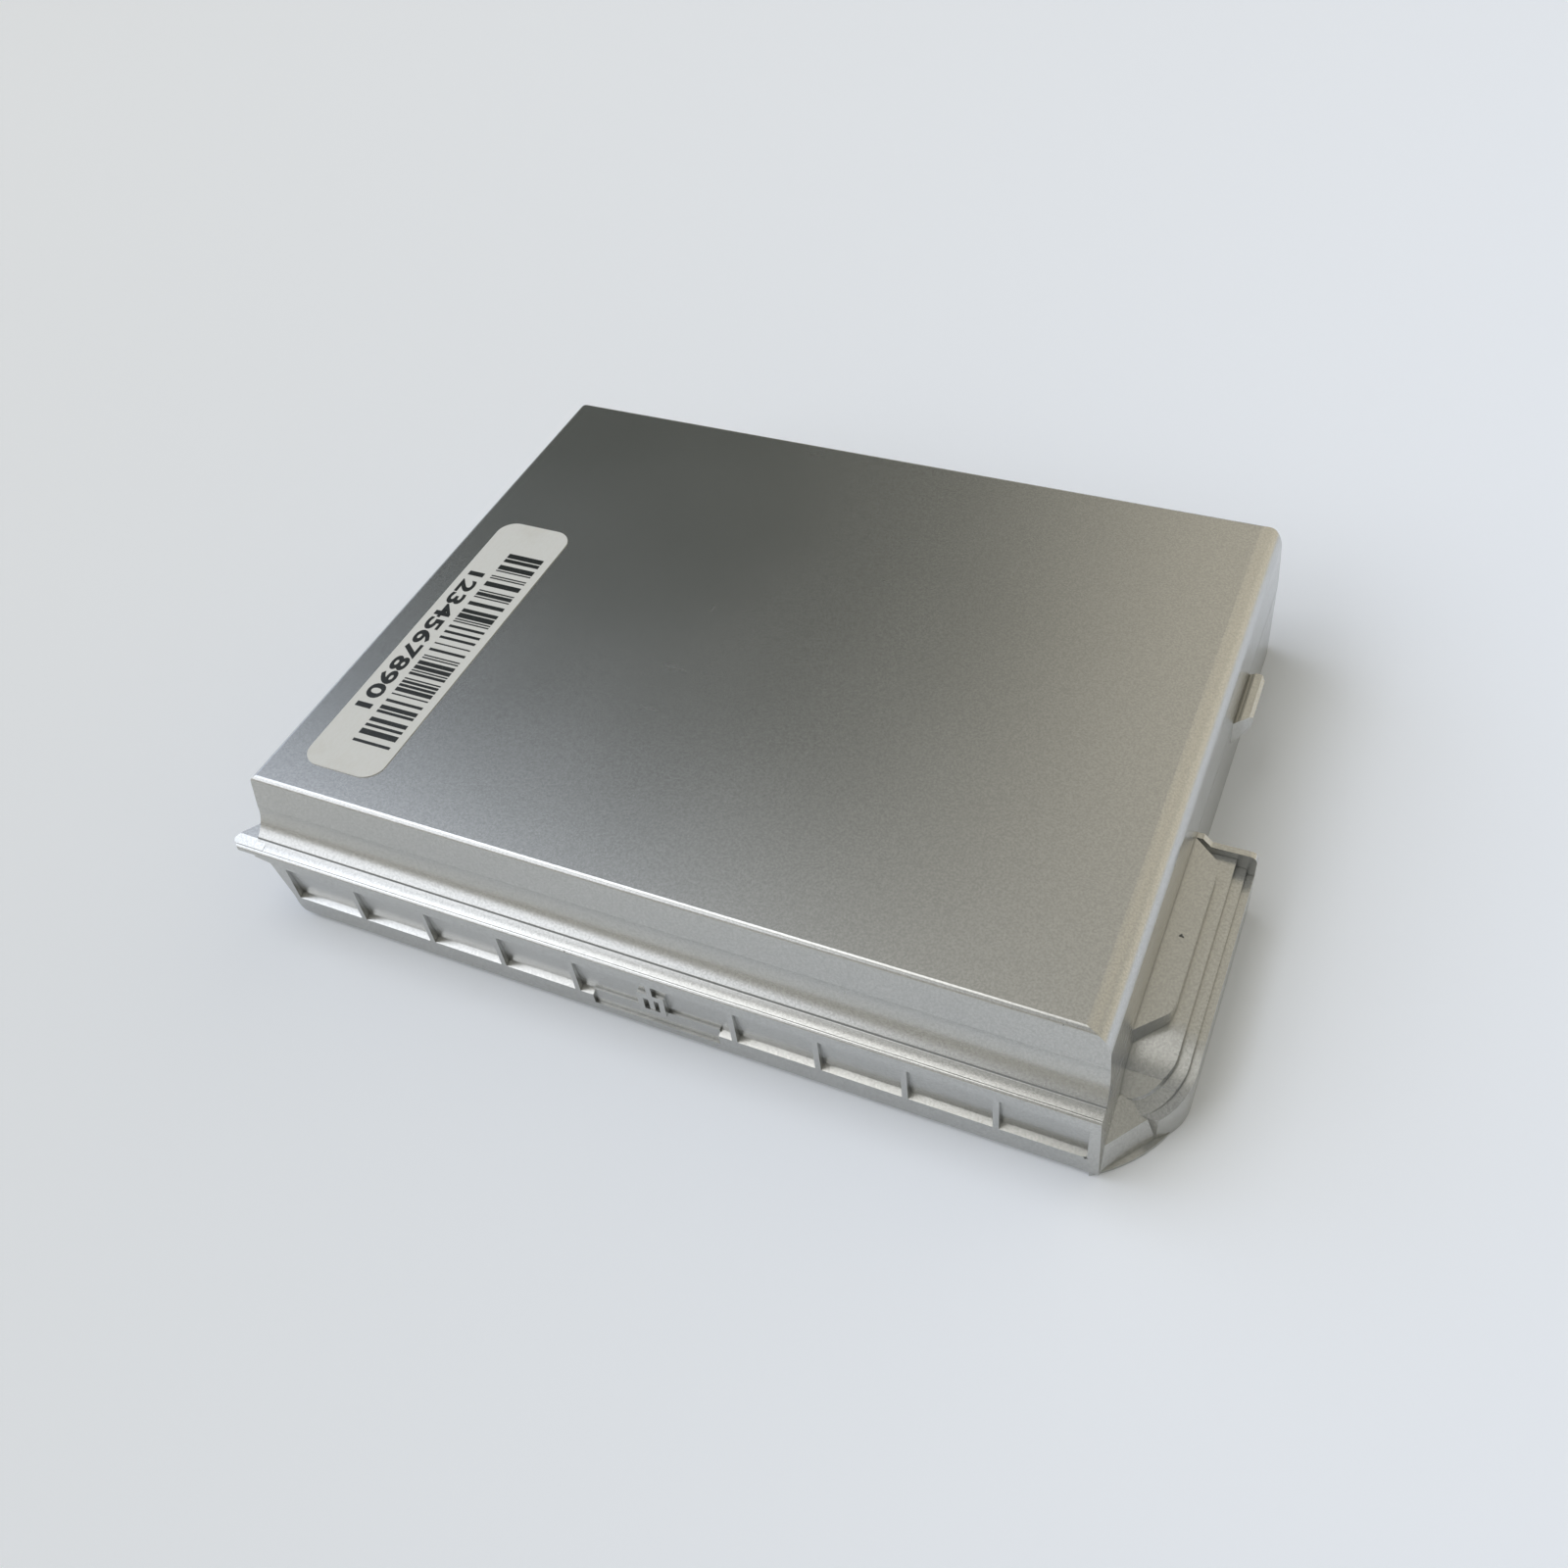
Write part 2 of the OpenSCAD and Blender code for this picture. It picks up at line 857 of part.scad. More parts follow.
// Rear strip with a tab that is bent over the partition and down to the board
module rear_strip(first, last, tab_at) {
    tab_w = 5;
    tab_y = board_y + 4;
    tab_z = cell_z + strip_w / 2;
    tab = [cell_x(tab_at) - tab_w / 2, cell_x(tab_at) + tab_w / 2];
    color("gainsboro") {
        strip_plate(first, last, cell_rear);
        box(tab, [cell_rear, tab_y], [tab_z - strip_t, tab_z]);
        box(tab, [tab_y - strip_t, tab_y], [board_top, tab_z]);
        box(tab, [tab_y - strip_t, tab_y + 3], [board_top, board_top + strip_t]);
    }
}

// Insulating sheet over the strips at one end of the row
module insulating_sheet(y, top) {
    color("darkslategray")
        box([cell_x(0) - cell_r, cell_x(5) + cell_r], [y, y + sheet_t], [wall, top]);
}

// Foam strips that press the cells down under the cover
module foam_strips() {
    color("dimgray")
        for (y = [cell_front + cradle_inset, cell_rear - cradle_inset - cradle_w]) {
            box([cell_x(0) - cell_r / 2, cell_x(5) + cell_r / 2], [y, y + cradle_w],
                [cell_z + cell_r, case_h - wall]);
        }
}

// Protection board behind the cells
module protection_board() {
    color("darkgreen")
        box([board_x, board_x + board_len], [board_y, board_y + board_w], [board_z, board_top]);
}

// Flat chip in the middle of the board's depth, with pins along its long sides
module chip(x, w, d, h, pins) {
    y = board_y + board_w / 2;
    pin_reach = 0.8;
    box([x - w / 2, x + w / 2], [y - d / 2, y + d / 2], [board_top + 0.1, board_top + h]);
    for (i = [0 : pins - 1]) {
        pin_x = x - w / 2 + (i + 0.5) * w / pins;
        box([pin_x - 0.2, pin_x + 0.2], [y - d / 2 - pin_reach, y + d / 2 + pin_reach],
            [board_top, board_top + 0.4]);
    }
}

// Controller that counts the charge
module controller_chip() {
    color("black")
        chip(cells_mid - 14, 9.6, 5.2, 1.6, 12);
}

// Pair of switching transistors for charge and discharge
module switching_transistors() {
    first = 6;
    pitch = 8;
    len = 5;
    depth = 4;
    height = 1.5;
    color("black")
        for (x = [cells_mid + first, cells_mid + first + pitch]) {
            chip(x, len, depth, height, 4);
        }
}

// Low resistor that senses the current
module sense_resistor() {
    x = cells_mid + 24;
    color("gray")
        box([x, x + 6.4], [board_y + 8, board_y + 11.2], [board_top, board_top + 0.7]);
}

// Fuse that the controller can blow
module board_fuse() {
    offset_x = 34;
    len = 8;
    depth = 5;
    height = 1.3;
    x = cells_mid - offset_x;
    y = board_y + board_w / 2;
    color("ivory")
        box([x, x + len], [y, y + depth], [board_top, board_top + height]);
}

// Row of small capacitors beside the controller
module board_capacitors() {
    color("peru")
        for (i = [0 : 3]) {
            x = cells_mid - 20 + i * 3;
            box([x, x + 1.6], [board_y + 2, board_y + 2.8], [board_top, board_top + 0.8]);
        }
}

// Middle of a contact slot
function contact_x(i) = cells_mid + (i - (contact_count - 1) / 2) * contact_pitch;

// Moulded contact block in the back wall, one slot for each contact
module contact_block() {
    color("black")
        difference() {
            union() {
                box([block_x + fit_gap, block_x + block_len - fit_gap],
                    [block_y + 1, case_d], [block_z + fit_gap, block_z + block_h - fit_gap]);
                box([block_x - 1.5, block_x + block_len + 1.5],
                    [block_y, cavity_back - fit_gap], [wall, block_z + block_h + 1]);
            }
            for (i = [0 : contact_count - 1]) {
                box([contact_x(i) - slot_w / 2, contact_x(i) + slot_w / 2],
                    [block_y + slot_floor, case_d + 1], [block_z + 1, block_z + block_h - 1]);
                box([contact_x(i) - tail_w / 2 - fit_gap, contact_x(i) + tail_w / 2 + fit_gap],
                    [block_y - 1, block_y + slot_floor + 1],
                    [board_top, board_top + tail_w + fit_gap]);
            }
        }
}

// Sprung clips in the slots, with tails soldered to the board
module contact_clips() {
    clip_t = 0.3;
    slot_back = block_y + slot_floor;
    color("goldenrod")
        for (i = [0 : contact_count - 1]) {
            for (side = [-1, 1]) {
                clip_x = contact_x(i) + side * (slot_w - clip_t) / 2;
                box([clip_x - clip_t / 2, clip_x + clip_t / 2], [slot_back, case_d - 0.8],
                    [block_z + 1, block_z + block_h - 1]);
            }
            box([contact_x(i) - slot_w / 2, contact_x(i) + slot_w / 2],
                [slot_back, slot_back + clip_t], [block_z + 1, block_z + block_h - 1]);
            box([contact_x(i) - tail_w / 2, contact_x(i) + tail_w / 2],
                [board_y + board_w - 2, slot_back + clip_t], [board_top, board_top + tail_w]);
        }
}

// Round lead that lies in the valley after a cell and drops to the board
module valley_lead(after, from_y, rise, d) {
    lead_x = (cell_x(after) + cell_x(after + 1)) / 2;
    drop_y = board_y + 4;
    lead_z = cell_z + rise;
    translate([lead_x, from_y, lead_z])
        rotate([-90, 0, 0])
            cylinder(d = d, h = drop_y - from_y);
    translate([lead_x, drop_y, lead_z])
        sphere(d = d);
    translate([lead_x, drop_y, board_top])
        cylinder(d = d, h = lead_z - board_top);
}

// Thermistor bead in the middle valley, with its thin lead
module thermistor() {
    bead_y = cell_rear - bead_back;
    color("black") {
        translate([(cell_x(2) + cell_x(3)) / 2, bead_y, cell_z + bead_rise])
            rotate([-90, 0, 0])
                cylinder(d = bead_d, h = bead_len);
        valley_lead(2, bead_y + bead_len / 2, bead_rise, 1);
    }
}

// Lead from the narrow front strip, the plus side of the row
module positive_lead() {
    color("firebrick")
        valley_lead(4, cell_front, lead_rise, lead_d);
}

// Lead from the wide front strip, which the controller uses to balance
module middle_lead() {
    color("gold")
        valley_lead(0, cell_front, lead_rise, lead_d);
}

in_place() top_cover();
in_place() bottom_case();
in_place() paper_label();
in_place() cell(0, 1);  // cell_1
in_place() cell(1, 1);  // cell_2
in_place() cell(2, -1);  // cell_3
in_place() cell(3, -1);  // cell_4
in_place() cell(4, 1);  // cell_5
in_place() cell(5, 1);  // cell_6
in_place() front_strip(0, 3, 0);  // front_wide_nickel_strip
in_place() front_strip(4, 5, 4);  // front_narrow_nickel_strip
in_place() rear_strip(0, 1, 1);  // rear_narrow_nickel_strip
in_place() rear_strip(2, 5, 4);  // rear_wide_nickel_strip
in_place() insulating_sheet(wall, cell_z + cell_r);  // front_insulating_sheet
in_place() insulating_sheet(cell_rear + strip_t, rear_sheet_top);  // rear_insulating_sheet
in_place() foam_strips();
in_place() protection_board();
in_place() controller_chip();
in_place() switching_transistors();
in_place() sense_resistor();
in_place() board_fuse();
in_place() board_capacitors();
in_place() contact_block();
in_place() contact_clips();
in_place() thermistor();
in_place() positive_lead();
in_place() middle_lead();
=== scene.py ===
"""Looks of a removable tablet battery: silver painted mouldings round six cells."""

import logging
import math
from dataclasses import dataclass, field
from enum import Enum
from typing import Any

import bmesh
import bpy
from mathutils import Matrix, Vector


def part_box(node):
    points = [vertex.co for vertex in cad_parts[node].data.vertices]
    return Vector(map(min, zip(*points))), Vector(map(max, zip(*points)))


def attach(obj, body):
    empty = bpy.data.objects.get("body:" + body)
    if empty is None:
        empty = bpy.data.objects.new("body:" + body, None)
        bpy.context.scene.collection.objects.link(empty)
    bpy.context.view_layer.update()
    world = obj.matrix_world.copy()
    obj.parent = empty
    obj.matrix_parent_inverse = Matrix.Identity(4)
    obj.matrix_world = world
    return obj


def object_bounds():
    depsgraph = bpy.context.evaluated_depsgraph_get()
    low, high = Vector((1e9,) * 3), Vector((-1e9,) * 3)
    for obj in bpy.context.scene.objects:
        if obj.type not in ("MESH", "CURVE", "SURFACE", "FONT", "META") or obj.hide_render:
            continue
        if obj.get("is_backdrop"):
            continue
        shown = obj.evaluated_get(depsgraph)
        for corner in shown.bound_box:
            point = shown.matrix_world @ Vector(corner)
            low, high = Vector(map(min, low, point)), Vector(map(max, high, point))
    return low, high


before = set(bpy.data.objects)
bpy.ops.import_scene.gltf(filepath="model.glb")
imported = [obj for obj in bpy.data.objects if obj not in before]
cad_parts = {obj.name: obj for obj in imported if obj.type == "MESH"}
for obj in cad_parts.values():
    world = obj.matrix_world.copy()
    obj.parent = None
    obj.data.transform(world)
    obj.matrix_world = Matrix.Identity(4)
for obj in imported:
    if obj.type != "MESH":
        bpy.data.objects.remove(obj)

log = logging.getLogger("tablet_battery")

MM = 0.001
# The case frame's corner, as seen from the part's own origin, in millimetres
CASE_CORNER = Vector((-64.8, -46.7, 0.0))
SEAM_Z = 14.1


class Sheen(Enum):
    """How glossy a moulded or printed surface is, as its roughness."""

    GLOSS = 0.22
    LACQUER = 0.26
    SATIN = 0.36
    MATT = 0.58
    DULL = 0.85


def linear(code: str) -> tuple[float, float, float, float]:
    """Turns an sRGB hex value into Blender's linear colour.

    Args:
        code: six hex digits, such as "C0C1BE".

    Returns:
        Red, green, blue and alpha.
    """
    parts = [int(code[i : i + 2], 16) / 255 for i in (0, 2, 4)]
    straight = [p / 12.92 if p <= 0.04045 else ((p + 0.055) / 1.055) ** 2.4 for p in parts]
    return (straight[0], straight[1], straight[2], 1.0)


def shade(code: str, factor: float) -> tuple[float, float, float, float]:
    """Linear colour of an sRGB hex value, made darker or paler by factor and kept to 1 at most."""
    red, green, blue, _ = linear(code)
    return (min(1.0, factor * red), min(1.0, factor * green), min(1.0, factor * blue), 1.0)


def per_metre(size_mm: float) -> float:
    """Texture scale for a pattern whose features are size_mm across."""
    return 1.0 / (size_mm * MM)


def case_point(x: float, y: float, z: float) -> Vector:
    """Point of the part's frame, in metres, for a point of the case frame in millimetres."""
    return (CASE_CORNER + Vector((x, y, z))) * MM


def add_node(
    tree: bpy.types.NodeTree,
    kind: str,
    settings: dict[str, Any] | None = None,
    inputs: dict[Any, Any] | None = None,
) -> bpy.types.Node:
    """Adds one node to a tree, with its settings and links.

    Args:
        tree: the node tree to add to.
        kind: the node's type name.
        settings: attributes to set on the node.
        inputs: by input name or number, a socket to link from or a value.

    Returns:
        The new node.
    """
    node = tree.nodes.new(kind)
    for name, value in (settings or {}).items():
        setattr(node, name, value)
    for key, value in (inputs or {}).items():
        if isinstance(value, bpy.types.NodeSocket):
            tree.links.new(value, node.inputs[key])
        else:
            node.inputs[key].default_value = value
    return node


class Sketch:
    """A material under construction, with the few patterns that the finishes share."""

    def __init__(self, name: str) -> None:
        """Starts an empty material called name."""
        self.material = bpy.data.materials.new(name)
        self.material.use_nodes = True
        self.tree = self.material.node_tree
        self.tree.nodes.clear()
        self.place = add_node(self.tree, "ShaderNodeTexCoord").outputs["Object"]

    def node(
        self, kind: str, settings: dict[str, Any] | None = None, inputs: dict[Any, Any] | None = None
    ) -> bpy.types.Node:
        """Adds a node to this material; see add_node."""
        return add_node(self.tree, kind, settings, inputs)

    def math(self, operation: str, first: Any, second: Any = 0.0) -> bpy.types.NodeSocket:
        """One arithmetic step.

        Args:
            operation: Blender's name of the step.
            first: the first number or socket.
            second: the second, where the step has one.

        Returns:
            The result's socket.
        """
        return self.node("ShaderNodeMath", {"operation": operation}, {0: first, 1: second}).outputs[0]

    def noise(
        self, size_mm: float, detail: float = 2.0, rough: float = 0.5, place: Any = None
    ) -> bpy.types.NodeSocket:
        """Cloudy pattern, from 0 to 1, of features size_mm across."""
        inputs = {
            "Vector": place or self.place,
            "Scale": per_metre(size_mm),
            "Detail": detail,
            "Roughness": rough,
        }
        return self.node("ShaderNodeTexNoise", None, inputs).outputs["Fac"]

    def stretched(self, x: float, y: float, z: float) -> bpy.types.NodeSocket:
        """Coordinates squeezed along each axis, so that a pattern on them is drawn out."""
        inputs = {"Vector": self.place, "Scale": (x, y, z)}
        return self.node("ShaderNodeMapping", None, inputs).outputs["Vector"]

    def step(
        self, value: Any, low: float, high: float, out_low: float = 0.0, out_high: float = 1.0
    ) -> bpy.types.NodeSocket:
        """Takes value from low..high to out_low..out_high, smoothly and no further."""
        inputs = {"Value": value, "From Min": low, "From Max": high, "To Min": out_low, "To Max": out_high}
        return self.node("ShaderNodeMapRange", {"interpolation_type": "SMOOTHSTEP"}, inputs).outputs["Result"]

    def tint(self, amount: Any, first: Any, second: Any, blend: str = "MIX") -> bpy.types.NodeSocket:
        """Mixes two colours by amount."""
        settings = {"data_type": "RGBA", "blend_type": blend}
        return self.node("ShaderNodeMix", settings, {0: amount, 6: first, 7: second}).outputs[2]

    def bump(
        self, height: Any, distance_mm: float, strength: float = 1.0, below: Any = None
    ) -> bpy.types.NodeSocket:
        """Relief of distance_mm from a height pattern, on top of another relief."""
        inputs = {"Height": height, "Distance": distance_mm * MM, "Strength": strength}
        if below is not None:
            inputs["Normal"] = below
        return self.node("ShaderNodeBump", None, inputs).outputs["Normal"]

    def finish(self, **sockets: Any) -> bpy.types.Material:
        """Closes the material with one Principled shader.

        Args:
            sockets: the shader's inputs, with _ for a blank in their names.

        Returns:
            The finished material.
        """
        inputs = {key.replace("_", " "): value for key, value in sockets.items()}
        shader = self.node("ShaderNodeBsdfPrincipled", None, inputs)
        self.node("ShaderNodeOutputMaterial", None, {"Surface": shader.outputs[0]})
        return self.material


@dataclass(frozen=True)
class Finish:
    """What every finish has: a name, a colour and a sheen."""

    name: str
    colour: str
    sheen: Sheen = Sheen.SATIN

    def make(self) -> bpy.types.Material:
        """Builds a moulded surface with a fine grain and faint cloudiness."""
        s = Sketch(self.name)
        deep = s.tint(s.noise(6.0, 3.0), linear(self.colour), shade(self.colour, 0.82))
        rough = s.step(s.noise(1.5), 0.2, 0.8, self.sheen.value - 0.06, self.sheen.value + 0.08)
        relief = s.bump(s.noise(0.25), 0.006, 0.5)
        return s.finish(Base_Color=deep, Roughness=rough, Normal=relief)


@dataclass(frozen=True)
class Chip:
    """A place where the paint is knocked off: where, in the case frame, and how large, in millimetres."""

    x: float
    y: float
    z: float
    size: float


@dataclass(frozen=True)
class SilverPaint(Finish):
    """Sprayed silver paint on moulded plastic.

    Aluminium flake in a thin satin lacquer: it mirrors the room as soft broad
    gradients, with a fine sparkle of grain, and shows the dark plastic where
    it is knocked off an edge.
    """

    # Dark plastic under the paint, seen in the chips; also the colour of the painted shade in the inner
    # corners
    primer_and_corner_shade: str = "575956"
    pale_dust: str = "E8E8E4"
    chips: tuple[Chip, ...] = ()
    metallic: float = 0.92
    flake_mm: float = 0.3
    peel_mm: float = 1.6
    speck_mm: float = 0.26
    # Reach of the painted shade in the inner corners
    corner_shade_mm: float = 0.5

    def knocked_off(self, s: Sketch) -> bpy.types.NodeSocket:
        """Mask of the chips, ragged at their edges."""
        ragged = s.node(
            "ShaderNodeTexNoise", None, {"Vector": s.place, "Scale": per_metre(0.5), "Detail": 3.0}
        ).outputs["Color"]
        shifted = s.node(
            "ShaderNodeVectorMath", {"operation": "MULTIPLY_ADD"}, {0: ragged, 1: (0.9 * MM,) * 3, 2: s.place}
        ).outputs[0]
        mask: Any = 0.0
        for chip in self.chips:
            centre = case_point(chip.x, chip.y, chip.z) + Vector((0.45, 0.45, 0.45)) * MM
            ends = {0: shifted, 1: centre}
            away = s.node("ShaderNodeVectorMath", {"operation": "DISTANCE"}, ends).outputs["Value"]
            mask = s.math("MAXIMUM", mask, s.step(away, 0.7 * chip.size * MM, chip.size * MM, 1.0, 0.0))
        return mask

    def dust(self, s: Sketch, spacing_mm: float, share: float) -> bpy.types.NodeSocket:
        """Mask of scattered specks.

        Args:
            s: the material under construction.
            spacing_mm: distance between the places where a speck can be.
            share: share of those places that have one.

        Returns:
            The mask's socket.
        """
        cells = s.node("ShaderNodeTexVoronoi", None, {"Vector": s.place, "Scale": per_metre(spacing_mm)})
        edge = self.speck_mm / spacing_mm
        near = s.step(cells.outputs["Distance"], 0.3 * edge, 0.5 * edge, 1.0, 0.0)
        red = s.node("ShaderNodeSeparateColor", None, {"Color": cells.outputs["Color"]}).outputs[0]
        return s.math("MULTIPLY", near, s.math("LESS_THAN", red, share))

    def make(self) -> bpy.types.Material:
        """Builds the paint with its flake, orange peel, seam line, dust, scratches, chips and painted shade
        in the inner corners.
        """
        s = Sketch(self.name)
        # Real flake is under 0.05 mm; it is drawn at 0.3 mm so that it shows
        flake = s.noise(self.flake_mm, 2.0, 0.6)
        colour = s.tint(s.step(flake, 0.3, 0.7), shade(self.colour, 0.84), linear(self.colour))
        height = s.node("ShaderNodeSeparateXYZ", None, {"Vector": s.place}).outputs["Z"]
        off_seam = s.math("ABSOLUTE", s.math("SUBTRACT", height, SEAM_Z * MM))
        seam = s.step(off_seam, 0.03 * MM, 0.11 * MM, 1.0, 0.0)
        specks = self.dust(s, 13.0, 0.22)
        pale = self.dust(s, 8.3, 0.2)
        scratch_a = s.noise(1.0, 1.0, 0.4, s.stretched(1.0, 0.06, 1.0))
        scratch_b = s.noise(0.8, 1.0, 0.4, s.stretched(0.07, 1.0, 1.0))
        hair = s.math("MAXIMUM", s.step(scratch_a, 0.77, 0.83), s.step(scratch_b, 0.79, 0.85))
        worn = self.knocked_off(s)
        # Painted shade in the inner corners, such as under each step and rib: the occlusion by nearby faces
        # tints the paint towards the primer's colour
        reach = {"Distance": self.corner_shade_mm * MM}
        corner_occlusion = s.node("ShaderNodeAmbientOcclusion", {"samples": 12, "only_local": True}, reach)
        # Mask of painted shade: strongest where nearby faces hide most of the room
        corner = s.step(corner_occlusion.outputs["AO"], 0.4, 0.85, 0.35, 0.0)
        dark = s.math("MAXIMUM", worn, s.math("MULTIPLY", s.math("MAXIMUM", seam, specks), 0.8))
        colour = s.tint(s.math("MULTIPLY", pale, 0.8), colour, linear(self.pale_dust))
        # Painted shade: darkens the inner corners towards the primer's colour
        colour = s.tint(corner, colour, linear(self.primer_and_corner_shade))
        colour = s.tint(dark, colour, linear(self.primer_and_corner_shade))
        rough = s.step(s.noise(30.0, 1.0), 0.2, 0.8, self.sheen.value - 0.01, self.sheen.value + 0.01)
        rough = s.math("ADD", rough, s.math("MULTIPLY", s.math("ADD", hair, pale), 0.03))
        rough = s.math("ADD", rough, s.math("MULTIPLY", dark, 0.3))
        metal = s.math("SUBTRACT", self.metallic, s.math("MULTIPLY", s.math("MAXIMUM", dark, pale), 0.85))
        # Orange peel of the sprayed coat, then the grain of the flake
        relief = s.bump(s.noise(self.peel_mm, 1.0), 0.003, 0.3)
        relief = s.bump(flake, 0.004, 0.25, relief)
        relief = s.bump(s.math("SUBTRACT", 1.0, s.math("MAXIMUM", worn, seam)), 0.06, 0.7, relief)
        return s.finish(Base_Color=colour, Metallic=metal, Roughness=rough, Normal=relief)


@dataclass(frozen=True)
class LabelPaper(Finish):
    """Coated label paper: off white, faintly warm, with long fibres and soft grime."""

    def make(self) -> bpy.types.Material:
        """Builds the paper from fibre clouds, soft grime and a weak relief."""
        s = Sketch(self.name)
        fibres = s.noise(0.35, 4.0, 0.65, s.stretched(1.0, 0.35, 1.0))
        colour = s.tint(s.step(fibres, 0.35, 0.65, 0.0, 0.5), linear(self.colour), linear("D2D1CA"))
        grime = s.step(s.noise(9.0, 4.0, 0.6), 0.55, 0.8, 0.0, 0.45)
        colour = s.tint(grime, colour, linear("C6C3B8"))
        rough = s.step(fibres, 0.3, 0.7, 0.5, 0.62)
        return s.finish(Base_Color=colour, Roughness=rough, Normal=s.bump(fibres, 0.012, 0.5))


@dataclass(frozen=True)
class ThermalPrint(Finish):
    """Transfer print: near black, slightly glossy, with tiny voids where the paper was rough."""

    def make(self) -> bpy.types.Material:
        """Builds the ink with its voids."""
        s = Sketch(self.name)
        voids = s.step(s.noise(0.22, 2.0), 0.66, 0.74)
        colour = s.tint(s.math("MULTIPLY", voids, 0.55), linear(self.colour), linear("8D8E88"))
        rough = s.step(voids, 0.0, 1.0, 0.34, 0.6)
        return s.finish(Base_Color=colour, Roughness=rough, Normal=s.bump(voids, 0.005, 0.5))


@dataclass(frozen=True)
class ShrinkSleeve(Finish):
    """Heat-shrunk film on a cell: glossy, with lengthwise drawing marks."""

    def make(self) -> bpy.types.Material:
        """Builds the film from marks drawn along the cell."""
        s = Sketch(self.name)
        marks = s.noise(0.9, 2.0, 0.5, s.stretched(1.0, 0.05, 1.0))
        colour = s.tint(marks, linear(self.colour), shade(self.colour, 1.25))
        rough = s.step(marks, 0.3, 0.7, 0.2, 0.32)
        relief = s.bump(marks, 0.01, 0.4)
        return s.finish(
            Base_Color=colour, Roughness=rough, Normal=relief, Coat_Weight=0.35, Coat_Roughness=0.12
        )


@dataclass(frozen=True)
class RolledMetal(Finish):
    """Rolled or plated sheet: fine rolling lines that draw the highlight out."""

    line_mm: float = 0.35

    def make(self) -> bpy.types.Material:
        """Builds the sheet from rolling lines and a faint stain."""
        s = Sketch(self.name)
        lines = s.noise(self.line_mm, 3.0, 0.6, s.stretched(0.05, 1.0, 1.0))
        stain = s.step(s.noise(5.0, 3.0), 0.5, 0.75, 0.0, 0.3)
        colour = s.tint(stain, linear(self.colour), shade(self.colour, 0.7))
        rough = s.step(lines, 0.25, 0.75, self.sheen.value - 0.06, self.sheen.value + 0.12)
        return s.finish(Base_Color=colour, Metallic=1.0, Roughness=rough, Normal=s.bump(lines, 0.006, 0.5))


@dataclass(frozen=True)
class FibreSheet(Finish):
    """Pressed insulating paper: dull, with long fibres in two directions."""

    def make(self) -> bpy.types.Material:
        """Builds the sheet from two sets of fibres."""
        s = Sketch(self.name)
        along = s.noise(0.5, 3.0, 0.6, s.stretched(0.15, 1.0, 1.0))
        across = s.noise(0.5, 3.0, 0.6, s.stretched(1.0, 1.0, 0.2))
        weave = s.math("MULTIPLY", s.math("ADD", along, across), 0.5)
        colour = s.tint(s.step(weave, 0.35, 0.65), shade(self.colour, 0.7), linear(self.colour))
        return s.finish(Base_Color=colour, Roughness=self.sheen.value, Normal=s.bump(weave, 0.02, 0.6))


@dataclass(frozen=True)
class CellFoam(Finish):
    """Closed-cell foam: dull dark grey with bubbles about half a millimetre across."""

    bubble_mm: float = 0.5

    def make(self) -> bpy.types.Material:
        """Builds the foam from its bubbles."""
        s = Sketch(self.name)
        cells = s.node("ShaderNodeTexVoronoi", None, {"Vector": s.place, "Scale": per_metre(self.bubble_mm)})
        wall = s.step(cells.outputs["Distance"], 0.1, 0.6)
        colour = s.tint(wall, shade(self.colour, 0.55), linear(self.colour))
        return s.finish(Base_Color=colour, Roughness=self.sheen.value, Normal=s.bump(wall, 0.08, 0.7))


@dataclass(frozen=True)
class GlassLaminate(Finish):
    """Glass-epoxy board under green solder resist: the weave shows through a glossy coat."""

    weave_mm: float = 3.0

    def make(self) -> bpy.types.Material:
        """Builds the board from the weave of its glass cloth."""
        s = Sketch(self.name)
        warp, weft = (
            s.node(
                "ShaderNodeTexWave",
                {"wave_type": "BANDS", "bands_direction": way},
                {"Vector": s.place, "Scale": per_metre(self.weave_mm)},
            ).outputs["Fac"]
            for way in ("X", "Y")
        )
        cloth = s.math("MULTIPLY", warp, weft)
        colour = s.tint(s.math("MULTIPLY", cloth, 0.6), linear(self.colour), shade(self.colour, 1.5))
        relief = s.bump(cloth, 0.01, 0.4)
        return s.finish(
            Base_Color=colour,
            Roughness=self.sheen.value,
            Normal=relief,
            Coat_Weight=0.5,
            Coat_Roughness=0.1,
        )


@dataclass(frozen=True)
class FloorPaper(Finish):
    """Matt background paper: a plain pale floor that keeps the object's shadow."""

    def make(self) -> bpy.types.Material:
        """Builds the paper: one even colour, for the eye and for the paint that mirrors it."""
        s = Sketch(self.name)
        diffuse = s.node("ShaderNodeBsdfDiffuse", None, {"Color": linear(self.colour), "Roughness": 1.0})
        s.node("ShaderNodeOutputMaterial", None, {"Surface": diffuse.outputs[0]})
        return s.material


def dress(material: bpy.types.Material, *nodes: str) -> None:
    """Gives CAD nodes a material, in every slot that they have.

    Args:
        material: the material.
        nodes: the names of the CAD nodes.
    """
    for name in nodes:
        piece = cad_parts[name]
        if not piece.data.materials:
            piece.data.materials.append(material)
        for place in piece.material_slots:
            place.material = material
        log.info("dressed %s as %s", name, material.name)


def settle(piece: bpy.types.Object) -> None:
    """Hands a finished piece to the frame: it rides on the pack."""
    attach(piece, "root")
    log.info("piece %s with %d faces", piece.name, len(piece.data.polygons))


